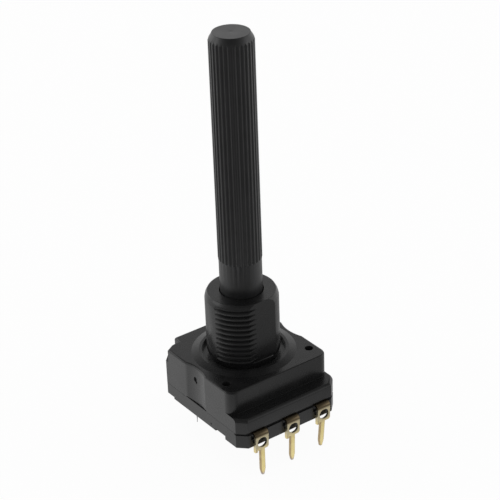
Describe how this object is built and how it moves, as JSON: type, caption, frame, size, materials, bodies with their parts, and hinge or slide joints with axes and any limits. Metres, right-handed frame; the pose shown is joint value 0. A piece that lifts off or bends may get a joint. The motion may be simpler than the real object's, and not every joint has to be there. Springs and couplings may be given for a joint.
{
  "type": "rotary potentiometer",
  "caption": "Black panel potentiometer with a long knurled shaft, a threaded bushing with a flat, a square moulded body and flat eyelet pins bent down in front.",
  "frame": {"origin": "on the shaft axis at the panel face, the top of the collar round the bushing", "axes": "+Z along the shaft towards its free end, -Y towards the terminals, +X to the right seen from the terminal side"},
  "size_m": [0.0164, 0.0193, 0.0586],
  "materials": {
    "housing": "satin moulded black",
    "base": "satin moulded black",
    "shaft": "satin moulded black",
    "rotor": "natural moulded",
    "wiper": "bright spring strip",
    "laminate": "punched laminate",
    "carbon": "printed",
    "silver_print": "printed",
    "terminal": "stamped, bright",
    "rivet": "tinned"
  },
  "bodies": {
    "body": {"housing": "housing", "base": "base", "element_board": "laminate", "carbon_track": "carbon", "collector": "silver_print", "terminal_left": "terminal", "terminal_middle": "terminal", "terminal_right": "terminal", "rivets": "rivet"},
    "spindle": {"shaft": "shaft", "rotor": "rotor", "wiper": "wiper"}
  },
  "joints": [
    {"name": "shaft_turn", "type": "hinge", "parent": "body", "child": "spindle", "pos_m": [0, 0, 0], "axis": [0, 0, 1], "range_deg": [-150, 150]}
  ]
}
